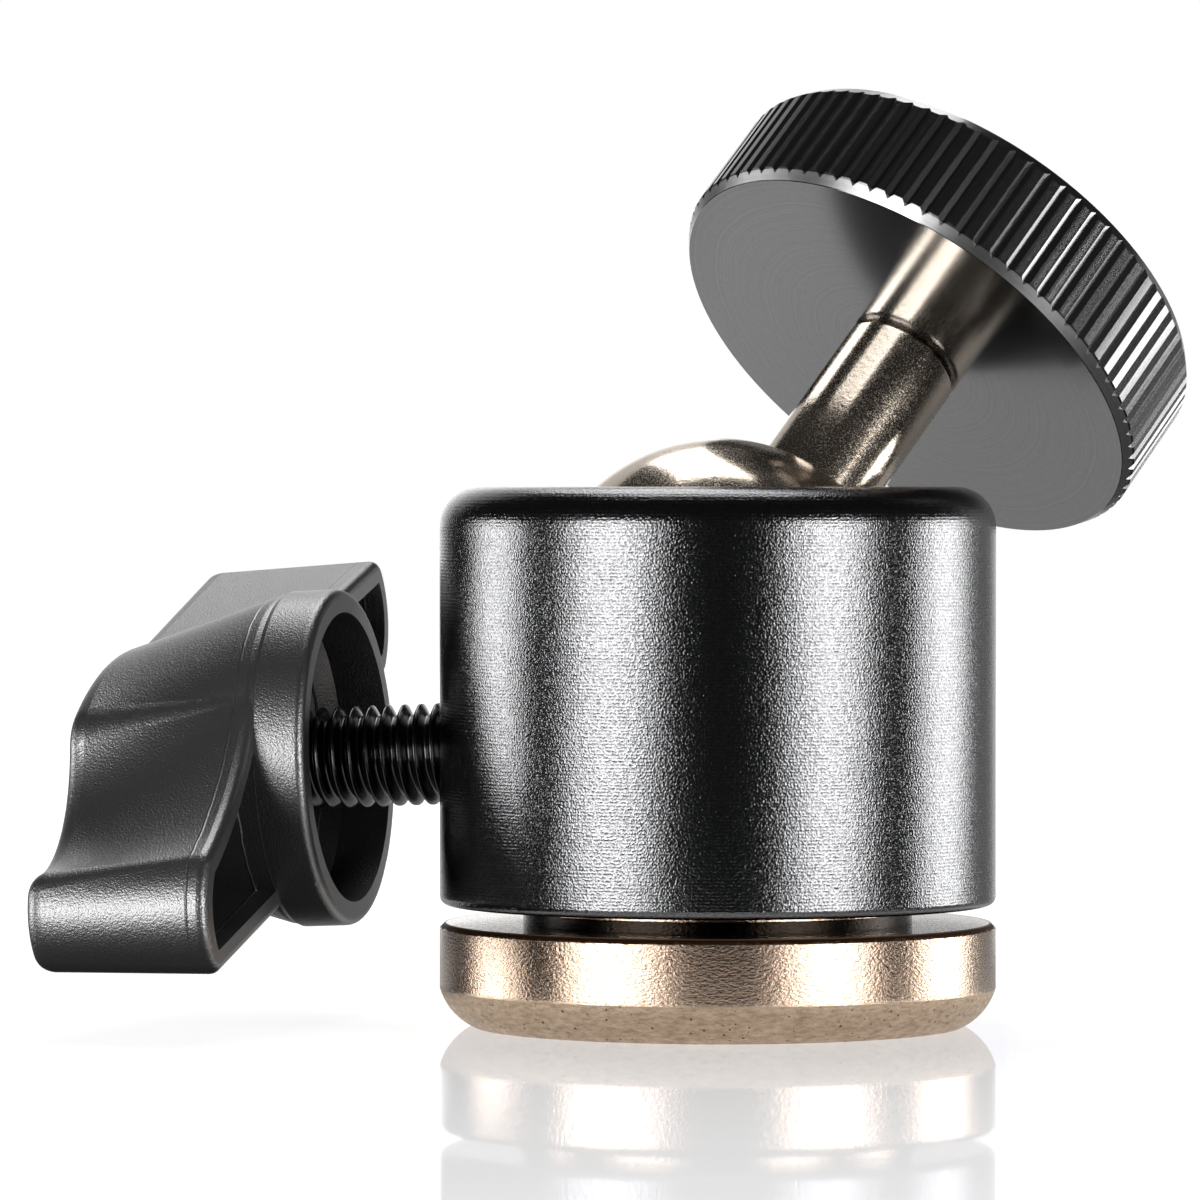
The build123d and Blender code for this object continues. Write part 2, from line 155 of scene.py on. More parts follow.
def blasted_anodised():
    material, place = new_material("bead_blasted_anodised_aluminium")
    height = add(material, "SeparateXYZ", {"Vector": place}).outputs["Z"]
    dents = add(
        material, "TexNoise", {"Vector": place, "Scale": 1 / BEAD_DENT, "Detail": 1.0, "Roughness": 0.6}
    )
    turn = add(material, "Math", {0: height, 1: 2 * pi / TURNING_FEED}, operation="MULTIPLY")
    lines = add(material, "Math", {0: turn}, operation="SINE")
    relief = add(material, "Math", {0: lines, 1: LINE_SHARE, 2: dents}, operation="MULTIPLY_ADD")
    bump = add(material, "Bump", {"Height": relief, "Strength": 1.0, "Distance": DENT_DEPTH})
    # painted shade: the dents' floors get the darker grey, their edges the lighter one
    shade = add(material, "MapRange", {"Value": relief, "From Min": DENT_FLOOR, "From Max": DENT_EDGE})
    tone = add(
        material,
        "Mix",
        {"Factor": shade, "A": colour("#505051"), "B": colour("#69696a")},
        data_type="RGBA",
    )
    shader = add(
        material,
        "BsdfPrincipled",
        {"Base Color": tone, "Normal": bump, "Metallic": 1.0, "Roughness": 0.17},
    )
    add(material, "OutputMaterial", {"Surface": shader})
    return material


dress("housing", blasted_anodised())

# %% [markdown]
# ## Polished nickel plate
#
# The base, the ball and the stem are plated with bright nickel, which is warmer than chrome. The ball and
# the stem were polished first. They keep a slight orange peel, and in the plating some grains are duller
# than others, so a dark reflection is dusted with light specks. Real grains are about 0.02 mm wide. They
# are drawn three times as coarse, so that they show.

# %% Polished nickel
ORANGE_PEEL = 0.35 * MM
PEEL_DEPTH = 0.009 * MM
PLATING_CLOUD = 2.5 * MM
PLATING_GRIT = 0.065 * MM
CLOUD_IN_GLOSS, GRIT_IN_RELIEF = 0.15, 0.12  # shares of each, beside the grit and the peel
CLEAR_GRAIN, DULL_GRAIN = 0.62, 0.78


def polished_nickel():
    material, place = new_material("polished_nickel_plate")
    peel = add(
        material, "TexNoise", {"Vector": place, "Scale": 1 / ORANGE_PEEL, "Detail": 3.0, "Roughness": 0.65}
    )
    cloud = add(material, "TexNoise", {"Vector": place, "Scale": 1 / PLATING_CLOUD, "Detail": 2.0})
    grit = add(material, "TexNoise", {"Vector": place, "Scale": 1 / PLATING_GRIT, "Detail": 1.0})
    matt = add(material, "Math", {0: cloud, 1: CLOUD_IN_GLOSS, 2: grit}, operation="MULTIPLY_ADD")
    gloss = add(
        material,
        "MapRange",
        {"Value": matt, "From Min": CLEAR_GRAIN, "From Max": DULL_GRAIN, "To Min": 0.14, "To Max": 0.42},
    )
    relief = add(material, "Math", {0: grit, 1: GRIT_IN_RELIEF, 2: peel}, operation="MULTIPLY_ADD")
    bump = add(material, "Bump", {"Height": relief, "Strength": 1.0, "Distance": PEEL_DEPTH})
    shader = add(
        material,
        "BsdfPrincipled",
        {"Base Color": colour("#d0c3b3"), "Roughness": gloss, "Normal": bump, "Metallic": 1.0},
    )
    add(material, "OutputMaterial", {"Surface": shader})
    return material


nickel = polished_nickel()
dress("ball", nickel)

# %% [markdown]
# ## Base, plated as turned
#
# The base has the same nickel on a rougher surface. Its side is grainy, and the tool drew the grain out
# sideways. Its lower bevel is matt and pitted, its flat faces keep the rings of the tool, and a matt dark
# brown band runs along the top edge. Each of these bands is found by height above the floor and distance
# from the pan axis, and a noise added to the height makes their borders ragged.

# %% Base: where its bands are
BEVEL_TOP = 2.2 * MM
DARK_EDGE_BOTTOM = 5.67 * MM
TOP_FACE = 5.90 * MM
TOP_FACE_RADIUS = 15.6 * MM
NECK_RADIUS = 11.6 * MM
NECK_BAND = 6.62 * MM  # the neck is dark below this height
BLOTCH = 0.7 * MM
BLOTCH_FLATNESS = 3  # blotches are this many times as wide as high
WOBBLE = 0.7 * MM  # half of this is added to a height on average, which the borders allow for
BEVEL_BORDER = (0.60 * MM, 0.10 * MM)  # a mask is 0 at the first and 1 at the second
DARK_EDGE_BORDER = (0.32 * MM, 0.40 * MM)
TOP_FACE_BORDER = (0.0, 0.10 * MM)


def ragged_bands(material, place, height, radius):
    """The blotches, and the masks of the bevel and the dark top edge, whose borders they make ragged."""
    flat = add(material, "VectorMath", {0: place, 1: (1, 1, BLOTCH_FLATNESS)}, operation="MULTIPLY")
    blotch = add(
        material, "TexNoise", {"Vector": flat, "Scale": 1 / BLOTCH, "Detail": 6.0, "Roughness": 0.75}
    )
    wobbly = add(material, "Math", {0: blotch, 1: WOBBLE, 2: height}, operation="MULTIPLY_ADD")
    masks = []
    for values, edge, (start, end) in (
        (wobbly, BEVEL_TOP, BEVEL_BORDER),
        (wobbly, DARK_EDGE_BOTTOM, DARK_EDGE_BORDER),
        (radius, TOP_FACE_RADIUS, TOP_FACE_BORDER),
    ):
        limits = {"From Min": edge + start, "From Max": edge + end}
        masks.append(add(material, "MapRange", {"Value": values, **limits}))
    bevel, high, outer = masks
    dark_edge = add(material, "Math", {0: high, 1: outer}, operation="MULTIPLY")
    return blotch, bevel, dark_edge


print(f"bevel up to {BEVEL_TOP / MM} mm, stain from {DARK_EDGE_BOTTOM / MM} mm")

# %% [markdown]
# The neck between the base and the housing is painted dark, as painted shade in the gap, except at its top,
# where light reaches in. The face round it is painted duller, as painted shade under the housing. Two
# heights and one radius part these two from the rest.

# %% Base: its top face and its neck


def top_and_neck(material, height, radius):
    """Masks of painted shade: everything on the top side up to the neck's bright band, and the neck alone.
    """
    low = add(material, "Math", {0: height, 1: NECK_BAND}, operation="LESS_THAN")
    above = add(material, "Math", {0: height, 1: TOP_FACE}, operation="GREATER_THAN")
    top_side = add(material, "Math", {0: low, 1: above}, operation="MULTIPLY")
    inner = add(material, "Math", {0: radius, 1: NECK_RADIUS}, operation="LESS_THAN")
    neck = add(material, "Math", {0: top_side, 1: inner}, operation="MULTIPLY")
    return top_side, neck


print(f"dark neck between {TOP_FACE / MM} and {NECK_BAND / MM} mm")

# %% [markdown]
# The pits are Voronoi cells of which about half hold a small round hole, each of its own size. The tool's
# rings are a sine of the radius. The turns of the tapped hole are a sine of the height and the angle round
# the axis together, which is a helix.

# %% Base: pits, rings and the tapped hole
PIT_SPACING = 0.36 * MM
WHOLE_SHARE = 0.45  # of the cells have no pit
LARGEST_PIT = 0.26  # in cells
PIT_DEPTH = -0.8  # against the grain's height
TOOL_FEED = 0.35 * MM
TAPPED_HOLE_RADIUS, HOLE_EDGE = 2.7 * MM, 0.05 * MM
TRIPOD_PITCH = 25.4 / 20 * MM  # 20 turns an inch
GRAIN_DEPTH, RING_DEPTH, THREAD_DEPTH = 0.034 * MM, 0.003 * MM, 0.3 * MM


def pits_on(material, place, bevel):
    """Mask of the pits on the bevel."""
    cells = add(material, "TexVoronoi", {"Vector": place, "Scale": 1 / PIT_SPACING, "Randomness": 1.0})
    chance = add(material, "SeparateColor", {"Color": cells.outputs["Color"]})
    size = add(
        material,
        "MapRange",
        {"Value": chance.outputs["Red"], "From Min": WHOLE_SHARE, "To Min": 0.0, "To Max": LARGEST_PIT},
    )
    pit = add(material, "Math", {0: cells.outputs["Distance"], 1: size}, operation="LESS_THAN")
    return add(material, "Math", {0: pit, 1: bevel}, operation="MULTIPLY")


def rings_and_turns(material, parts, radius):
    """Height of the tool's rings, and of the tapped hole's thread."""
    turns = add(material, "Math", {0: radius, 1: 2 * pi / TOOL_FEED}, operation="MULTIPLY")
    rings = add(material, "Math", {0: turns}, operation="SINE")
    around = add(material, "Math", {0: parts.outputs["Y"], 1: parts.outputs["X"]}, operation="ARCTAN2")
    climb = add(
        material,
        "Math",
        {0: parts.outputs["Z"], 1: -2 * pi / TRIPOD_PITCH, 2: around},
        operation="MULTIPLY_ADD",
    )
    helix = add(material, "Math", {0: climb}, operation="SINE")
    in_hole = add(
        material,
        "MapRange",
        {"Value": radius, "From Min": TAPPED_HOLE_RADIUS, "From Max": TAPPED_HOLE_RADIUS - HOLE_EDGE},
    )
    return rings, add(material, "Math", {0: helix, 1: in_hole}, operation="MULTIPLY")


print(f"pits {PIT_SPACING / MM} mm apart, rings {TOOL_FEED / MM} mm apart")

# %% [markdown]
# The colours follow the same masks, one laid over the other: the bright side, the mottled matt bevel, the
# dark pits, the dark brown top edge, and then painted shade: the duller top face under the housing and
# the dark neck in the gap. Matt nickel is rough, and the bright side is smooth with a grain of its own.
# Three bumps lie on each other, each with its own depth.

# %% Base: its colours
MOTTLE_LOW, MOTTLE_HIGH = 0.36, 0.64


def base_tone(material, blotch, bevel, pits, dark_edge, top_side, neck):
    """Colour of the base, from the masks of its bands."""
    mottle = add(
        material, "MapRange", {"Value": blotch, "From Min": MOTTLE_LOW, "From Max": MOTTLE_HIGH}
    )
    matt = add(
        material,
        "Mix",
        {"Factor": mottle, "A": colour("#8f7a65"), "B": colour("#b6a48f")},
        data_type="RGBA",
    )
    tone = add(material, "Mix", {"Factor": bevel, "A": colour("#ad9886"), "B": matt}, data_type="RGBA")
    # the top face and the neck colours are painted shade under the housing; pits and top edge are dark in
    # colour
    for mask, code in ((pits, "#5c4a39"), (dark_edge, "#4a301c"), (top_side, "#85786a"), (neck, "#1d1814")):
        tone = add(material, "Mix", {"Factor": mask, "A": tone, "B": colour(code)}, data_type="RGBA")
    return tone


print("base: six finishes, laid one over the other")

# %% Base: the whole finish
PLATE_GRAIN = 0.24 * MM
GRAIN_FLATNESS = 2  # the grain is this many times as long, the way the tool went, as it is high
MATT_ROUGHNESS = 0.55


def turned_nickel():
    material, place = new_material("nickel_plate_as_turned")
    parts = add(material, "SeparateXYZ", {"Vector": place})
    height = parts.outputs["Z"]
    flat = add(material, "CombineXYZ", {"X": parts.outputs["X"], "Y": parts.outputs["Y"]})
    radius = add(material, "VectorMath", {0: flat}, operation="LENGTH")
    drawn = add(material, "VectorMath", {0: place, 1: (1, 1, GRAIN_FLATNESS)}, operation="MULTIPLY")
    grain = add(
        material, "TexNoise", {"Vector": drawn, "Scale": 1 / PLATE_GRAIN, "Detail": 3.0, "Roughness": 0.6}
    )
    blotch, bevel, dark_edge = ragged_bands(material, place, height, radius)
    top_side, neck = top_and_neck(material, height, radius)
    pits = pits_on(material, place, bevel)
    rings, thread = rings_and_turns(material, parts, radius)
    pitted = add(material, "Math", {0: pits, 1: PIT_DEPTH, 2: grain}, operation="MULTIPLY_ADD")
    bump = add(material, "Bump", {"Height": pitted, "Strength": 1.0, "Distance": GRAIN_DEPTH})
    for relief, depth in ((rings, RING_DEPTH), (thread, THREAD_DEPTH)):
        bump = add(material, "Bump", {"Height": relief, "Strength": 1.0, "Distance": depth, "Normal": bump})
    side_gloss = add(material, "MapRange", {"Value": grain, "To Min": 0.10, "To Max": 0.18})
    rough = add(material, "Math", {0: bevel, 1: dark_edge}, operation="MAXIMUM")
    gloss = add(
        material, "Mix", {"Factor": rough, "A": side_gloss, "B": MATT_ROUGHNESS}, data_type="FLOAT"
    )
    tone = base_tone(material, blotch, bevel, pits, dark_edge, top_side, neck)
    shader = add(
        material,
        "BsdfPrincipled",
        {"Base Color": tone, "Roughness": gloss, "Normal": bump, "Metallic": 1.0},
    )
    add(material, "OutputMaterial", {"Surface": shader})
    return material


dress("base_plate", turned_nickel())

# %% [markdown]
# ## Camera disc
#
# The disc is turned and anodised black without blasting, so its underside is a dark mirror with a blur
# away from the middle: the tool's marks are rings round the stem's axis, and light spreads across them.
# The distance from that axis drives the rings, and the direction away from it is the blur's. Real marks
# are too fine to show, so they are drawn coarser, at an uneven 0.18 mm.

# %% Disc: its face, lip and rim
FACE_RADIUS = 14.78 * MM
LIP_DEPTH = 0.6 * MM


def disc_bands(material, along, radius):
    """Masks of all outside the flat face, and of the round lip under the rim."""
    under = add(material, "Math", {0: along, 1: disc_low + LIP_DEPTH}, operation="LESS_THAN")
    outside = add(material, "Math", {0: radius, 1: FACE_RADIUS}, operation="GREATER_THAN")
    return outside, add(material, "Math", {0: under, 1: outside}, operation="MULTIPLY")


print(f"flat face out to {FACE_RADIUS / MM:.2f} mm, lip {LIP_DEPTH / MM:.1f} mm high")

# %% [markdown]
# The face is the smoothest of the three, then the rim, then the lip. The rim is painted darker too, as
# painted shade for the light lost between its ridges.

# %% Turned anodised aluminium
DISC_FEED = 0.18 * MM
FEED_DRIFT, DRIFT_WIDTH = 0.3 * MM, 3 * MM  # the rings wander this much, over this width
DUST = 0.3 * MM
DUST_SHARE = 0.8  # of the marks' height
MARK_DEPTH = 0.0005 * MM
LIP_STEP = 1.2  # the lip is rougher than the rim by this many times the rim's own step
STREAK_DARK, STREAK_LIGHT = 0.7, 1.3


def turned_anodised():
    material, place = new_material("turned_anodised_aluminium")
    arm = add(material, "VectorMath", {0: place, 1: ball_centre}, operation="SUBTRACT")
    along = add(material, "VectorMath", {0: arm, 1: stem_axis}, operation="DOT_PRODUCT")
    across = add(material, "VectorMath", {0: arm, 1: stem_axis}, operation="CROSS_PRODUCT")
    outward = add(material, "VectorMath", {0: across, 1: stem_axis}, operation="CROSS_PRODUCT")
    radius = add(material, "VectorMath", {0: across}, operation="LENGTH")
    drift = add(material, "TexNoise", {"Vector": place, "Scale": 1 / DRIFT_WIDTH, "Detail": 2.0})
    wavy = add(material, "Math", {0: drift, 1: FEED_DRIFT, 2: radius}, operation="MULTIPLY_ADD")
    marks = add(
        material, "TexNoise", {"W": wavy, "Scale": 1 / DISC_FEED, "Detail": 3.0}, noise_dimensions="1D"
    )
    dust = add(
        material, "TexNoise", {"Vector": place, "Scale": 1 / DUST, "Detail": 3.0, "Roughness": 0.7}
    )
    relief = add(material, "Math", {0: dust, 1: DUST_SHARE, 2: marks}, operation="MULTIPLY_ADD")
    bump = add(material, "Bump", {"Height": relief, "Strength": 1.0, "Distance": MARK_DEPTH})
    outside, lip = disc_bands(material, along, radius)
    steps = add(material, "Math", {0: lip, 1: LIP_STEP, 2: outside}, operation="MULTIPLY_ADD")
    gloss = add(material, "MapRange", {"Value": steps, "To Min": 0.15, "To Max": 0.24}, clamp=False)
    rim = add(material, "Math", {0: outside, 1: lip}, operation="SUBTRACT")
    streak = add(material, "Math", {0: marks, 1: dust}, operation="ADD")
    faint = add(material, "MapRange", {"Value": streak, "From Min": STREAK_DARK, "From Max": STREAK_LIGHT})
    face = add(
        material,
        "Mix",
        {"Factor": faint, "A": colour("#9b9b9c"), "B": colour("#a6a6a7")},
        data_type="RGBA",
    )
    # painted shade: the rim gets the darker grey
    tone = add(material, "Mix", {"Factor": rim, "A": face, "B": colour("#787879")}, data_type="RGBA")
    finish = {"Metallic": 1.0, "Roughness": gloss, "Anisotropic": 0.6, "Tangent": outward}
    shader = add(material, "BsdfPrincipled", {"Base Color": tone, "Normal": bump, **finish})
    add(material, "OutputMaterial", {"Surface": shader})
    return material


dress("platform_disc", turned_anodised())

# %% [markdown]
# ## Rubber pad
#
# Moulded rubber is matt and almost black, with a fine spark-eroded texture from the mould.

# %% Rubber
RUBBER_SKIN, RUBBER_DEPTH = 0.2 * MM, 0.02 * MM


def moulded_rubber():
    material, place = new_material("moulded_rubber")
    skin = add(material, "TexNoise", {"Vector": place, "Scale": 1 / RUBBER_SKIN, "Detail": 3.0})
    bump = add(material, "Bump", {"Height": skin, "Strength": 0.8, "Distance": RUBBER_DEPTH})
    finish = {"Base Color": colour("#1d1d1d"), "Roughness": 0.75, "IOR": 1.52}
    shader = add(material, "BsdfPrincipled", {"Normal": bump, **finish})
    add(material, "OutputMaterial", {"Surface": shader})
    return material


dress("rubber_pad", moulded_rubber())

# %% [markdown]
# ## Wing knob
#
# The knob is moulded in glass-filled nylon with a spark-eroded texture, here an eighth of a millimetre
# wide. Where the two halves of the mould meet, a thin line of flash runs round the wings just behind their
# rim, square to the screw, and wavers a little. The index of nylon is 1.53. Both the index and the specular
# level are set higher here, because at its own the grain's bright sides come out too dim.

# %% Textured nylon
MOULD_GRAIN = 0.12 * MM
GRAIN_RELIEF = 0.028 * MM
PARTING_PLACE = 10.1 * MM  # along the screw
FLASH_HALF_WIDTH = 0.09 * MM
FLASH_HEIGHT = 1.2  # against the grain's height
WAVER_LENGTH, WAVER = 1.2 * MM, 0.10 * MM


def flash_line(material, place):
    """Mask of the flash: 1 on the parting plane, and 0 beyond half its width."""
    arm = add(material, "VectorMath", {0: place, 1: screw_foot}, operation="SUBTRACT")
    along = add(material, "VectorMath", {0: arm, 1: screw_axis}, operation="DOT_PRODUCT")
    noise = add(material, "TexNoise", {"Vector": place, "Scale": 1 / WAVER_LENGTH, "Detail": 2.0})
    waver = add(material, "MapRange", {"Value": noise, "To Min": -WAVER, "To Max": WAVER})
    moved = add(material, "Math", {0: along, 1: waver}, operation="ADD")
    off = add(material, "Math", {0: moved, 1: PARTING_PLACE}, operation="SUBTRACT")
    near = add(material, "Math", {0: off}, operation="ABSOLUTE")
    return add(material, "MapRange", {"Value": near, "From Min": FLASH_HALF_WIDTH, "From Max": 0.0})


def textured_nylon():
    material, place = new_material("moulded_black_nylon")
    grain = add(
        material, "TexNoise", {"Vector": place, "Scale": 1 / MOULD_GRAIN, "Detail": 1.0, "Roughness": 0.6}
    )
    flash = flash_line(material, place)
    height = add(material, "Math", {0: flash, 1: FLASH_HEIGHT, 2: grain}, operation="MULTIPLY_ADD")
    bump = add(material, "Bump", {"Height": height, "Strength": 1.0, "Distance": GRAIN_RELIEF})
    finish = {"Roughness": 0.35, "IOR": 1.85, "Specular IOR Level": 1.0}
    shader = add(
        material, "BsdfPrincipled", {"Base Color": colour("#1e1e1f"), "Normal": bump, **finish}
    )
    add(material, "OutputMaterial", {"Surface": shader})
    return material


dress("knob", textured_nylon())

# %% [markdown]
# ## Pieces inside the housing
#
# The ball sits between two rings of acetal, a slippery white plastic. A dished spring of plain steel
# presses the lower one up, and the screw ends in a turned brass tip that can't mar the plating. Little of
# them shows, so one recipe does for all: a colour, a roughness that varies by a few hundredths, and a
# shallow grain.

# %% Acetal, spring steel and brass
SHALLOW = 0.004 * MM
GLOSS_SPREAD = 0.06


def plain_finish(name, code, roughness, metallic, grain):
    """A material with one colour and a fine grain of the given width."""
    material, place = new_material(name)
    marks = add(material, "TexNoise", {"Vector": place, "Scale": 1 / grain, "Detail": 3.0})
    spread = {"To Min": roughness - GLOSS_SPREAD, "To Max": roughness + GLOSS_SPREAD}
    gloss = add(material, "MapRange", {"Value": marks, **spread})
    bump = add(material, "Bump", {"Height": marks, "Strength": 0.6, "Distance": SHALLOW})
    finish = {"Base Color": colour(code), "Metallic": metallic}
    shader = add(material, "BsdfPrincipled", {"Roughness": gloss, "Normal": bump, **finish})
    add(material, "OutputMaterial", {"Surface": shader})
    return material


acetal = plain_finish("moulded_acetal", "#e4e2da", 0.42, 0.0, 0.3 * MM)
dress("lower_ball_seat", acetal)
dress("upper_seat_ring", acetal)
dress("disc_spring", plain_finish("spring_steel", "#8d8f92", 0.35, 1.0, 0.15 * MM))
dress("thrust_tip", plain_finish("turned_brass", "#cfa863", 0.30, 1.0, 0.12 * MM))

# %% [markdown]
# ## Screw threads
#
# A thread is one profile swept along a helix. The mesh here is a grid: one direction goes round the
# screw, the other along it, and the grid is sheared so that it climbs by one pitch each turn. Its edges
# then follow the crests, which keeps them sharp with few faces. At both ends the grid is clamped to the
# end's plane, so the thread stops square, and a cone trims its first turns as a chamfer does.

# %% The thread's profile
ROUND = 72  # steps in a turn
CREST_SHARE, FLANK_SHARE = 0.12, 0.68  # of the pitch, and the root has the rest
PHASES = (0.0, 0.06, 0.16, 0.28, 0.44, 0.56, 0.72, 0.84, 0.94)


def thread_radius(phase, major, depth):
    """Radius of a 60 degree thread at a phase from 0 to 1 of its pitch, with a flat crest and root."""
    slope = abs(2 * phase - 1)
    ramp = min(1.0, max(0.0, (slope - CREST_SHARE) / FLANK_SHARE))
    return major - depth * ramp


def helix_rows(start, end, pitch, major, depth, chamfer_low, chamfer_high):
    """Rows of (distance along, radius) for each step round the axis, for a threaded stretch."""
    turns = int((end - start) / pitch) + 2
    rows = []
    for step in range(ROUND):
        climb = pitch * step / ROUND
        row = []
        for turn in range(-1, turns + 1):
            for mark in PHASES:
                along = min(max(start + (turn + mark) * pitch + climb, start), end)
                phase = ((along - start - climb) / pitch) % 1.0
                radius = thread_radius(phase, major, depth)
                row.append((along, min(radius, chamfer_low + along - start, chamfer_high + end - along)))
        rows.append(row)
    return rows


print(f"a thread has {ROUND} steps a turn and {len(PHASES)} points a pitch")

# %% [markdown]
# The same function finishes both screws: before and after the thread it adds the plain steps as a turned
# profile, so each screw is one closed skin, as the real one is one piece of metal. Two rows side by side
# are joined point by point. From the last row to the first the thread has climbed one pitch, so there
# each point is joined to the one that is a pitch further on.

# %% Joining the rows


def skin(mesh, rings, first, last):
    """Faces between neighbouring rings of vertices, whose thread runs from index first to before last."""
    for step in range(ROUND):
        here, there = rings[step], rings[(step + 1) % ROUND]
        shift = len(PHASES) if step == ROUND - 1 else 0
        for low in range(len(here) - 1):
            pair = (low, low + 1)
            if first <= low and low + 1 < last:
                pair = [min(max(index + shift, first), last - 1) for index in pair]
            corners = []
            for corner in (here[low], here[low + 1], there[pair[1]], there[pair[0]]):
                if corner not in corners:
                    corners.append(corner)
            if len(corners) > 2:
                mesh.faces.new(corners)


print("after a whole turn, points are joined", len(PHASES), "further on")

# %% Build a turned piece with a threaded stretch
WELD = 1e-7


def turned_piece(name, origin, axis, before, thread, after, material):
    """A closed skin of revolution. before and after are the (distance, radius) points round the thread."""
    rows = helix_rows(**thread)
    side = axis.orthogonal().normalized()
    other = axis.cross(side)
    mesh = bmesh.new()
    rings = []
    for step, row in enumerate(rows):
        turn = 2 * pi * step / ROUND
        out = side * cos(turn) + other * sin(turn)
        path = list(before) + row + list(after)
        rings.append([mesh.verts.new(origin + axis * along + out * radius) for along, radius in path])
    skin(mesh, rings, len(before), len(before) + len(rows[0]))
    bmesh.ops.remove_doubles(mesh, verts=mesh.verts, dist=WELD)
    bmesh.ops.recalc_face_normals(mesh, faces=mesh.faces)
    data = bpy.data.meshes.new(name)
    mesh.to_mesh(data)
    mesh.free()
    data.materials.append(material)
    data.shade_smooth()
    piece = bpy.data.objects.new(name, data)
    bpy.context.scene.collection.objects.link(piece)
    print(name, "has", len(data.polygons), "faces")
    return piece


print(f"points within {WELD / MM:.4f} mm of each other are welded")

# %% [markdown]
# ## Lock screw
#
# M6 x 1, rolled and finished in black oxide with a little oil, so the flanks of the thread are glossy.

# %% Black oxide steel
OXIDE_SCALE, OXIDE_DEPTH = 0.25 * MM, 0.006 * MM


def black_oxide():
    material, place = new_material("black_oxide_steel")
    scale = add(
        material, "TexNoise", {"Vector": place, "Scale": 1 / OXIDE_SCALE, "Detail": 4.0, "Roughness": 0.65}
    )
    gloss = add(material, "MapRange", {"Value": scale, "To Min": 0.12, "To Max": 0.32})
    bump = add(material, "Bump", {"Height": scale, "Strength": 1.0, "Distance": OXIDE_DEPTH})
    finish = {"Base Color": colour("#4a4a4b"), "Metallic": 1.0}
    shader = add(material, "BsdfPrincipled", {"Roughness": gloss, "Normal": bump, **finish})
    add(material, "OutputMaterial", {"Surface": shader})
    return material


oxide = black_oxide()

# %% The lock screw
SCREW_THREAD = {
    "pitch": 1.0 * MM,
    "major": 2.95 * MM,
    "depth": 0.61 * MM,
    "chamfer_low": 2.4 * MM,
    "chamfer_high": 4 * MM,  # wider than the thread, so no chamfer under the head
}
HEAD_RADIUS = 4.0 * MM
HEAD_LENGTH = 3.5 * MM
head_start = screw_high - HEAD_LENGTH
lock_screw = turned_piece(
    "lock_screw_threaded",
    screw_foot,
    screw_axis,
    [(screw_low, 0.0)],
    {"start": screw_low, "end": head_start, **SCREW_THREAD},
    [(head_start, HEAD_RADIUS), (screw_high, HEAD_RADIUS), (screw_high, 0.0)],
    oxide,
)
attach(lock_screw, "knob_and_screw")
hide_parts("lock_screw")

# %% [markdown]
# ## Stem and camera stud
#
# One nickel-plated turning: a tail that sits in the ball, the stem, and a 1/4 inch-20 thread that runs
# through the disc and stands above the pad. Its shoulder has a small chamfer that catches a dark line. The
# plain stretches have a ring of points close to each end, so that smooth shading stays at the edges.

# %% The stem's sizes
STEM_RADIUS = 3.5 * MM
TAIL_RADIUS = 2.5 * MM
TAIL_LENGTH = 6.5 * MM
TAIL_CHAMFER = 0.4 * MM
STUD_IN_DISC = 2.76 * MM
STUD_RADIUS = 3.175 * MM
STUD_FREE = 6.15 * MM
STUD_THREAD = {
    "pitch": TRIPOD_PITCH,
    "major": STUD_RADIUS,
    "depth": 0.74 * MM,
    "chamfer_low": STUD_IN_DISC,
    "chamfer_high": STUD_RADIUS - 0.7 * MM,
}
SHOULDER_GAP = 0.05 * MM
SHOULDER_CHAMFER = 0.32 * MM
EDGE_RING = 0.1 * MM
shoulder = disc_low - SHOULDER_GAP
tail_step = stem_low + TAIL_LENGTH
free_start = stem_high - STUD_FREE
print(f"shoulder {shoulder / MM:.2f} mm and thread {free_start / MM:.2f} mm above the ball's centre")

# %% The stem
stem = turned_piece(
    "stem_with_stud",
    ball_centre,
    stem_axis,
    [
        (stem_low, 0.0),
        (stem_low, TAIL_RADIUS - TAIL_CHAMFER),
        (stem_low + TAIL_CHAMFER, TAIL_RADIUS),
        (tail_step, TAIL_RADIUS),
        (tail_step, STEM_RADIUS),
        (tail_step + EDGE_RING, STEM_RADIUS),
        (shoulder - SHOULDER_CHAMFER - EDGE_RING, STEM_RADIUS),
        (shoulder - SHOULDER_CHAMFER, STEM_RADIUS),
        (shoulder, STEM_RADIUS - SHOULDER_CHAMFER),
        (shoulder, STUD_IN_DISC),
        (free_start, STUD_IN_DISC),
    ],
    {"start": free_start, "end": stem_high, **STUD_THREAD},
    [(stem_high, 0.0)],
    nickel,
)
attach(stem, "ball_and_stem")
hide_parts("camera_stem")

# %% [markdown]
# ## Floor and light
#
# The head stands on a glossy white sheet. To the eye the sheet is plain white, and a little darker near
# the head, which dims it. In reflections it is there only within an ellipse near the head, and not on the
# knob's side of it. Elsewhere it lets reflections and shadow rays through, so the metal sees the soft boxes
# reach below the horizon, as their mirror images in a table do. Each of these is a mask over X and Y.

# %% The sheet's white
SHEET_MIDDLE = (-6 * MM, 26 * MM, 0)
SHEET_HALF = (34 * MM, 56 * MM)
DIMMED_TO = 4.0  # times the ellipse's size
WHITE_NEAR, WHITE_FAR = 0.86, 1.0
MIRRORED_FRONT, MIRRORED_LEFT, MIRRORED_RIGHT = 0.80, 0.33, 0.19
BEHIND = 25 * MM  # from the pan axis to here, the front's strength gives way to those behind
BEHIND_LEFT, BEHIND_RIGHT = -35 * MM, -8 * MM


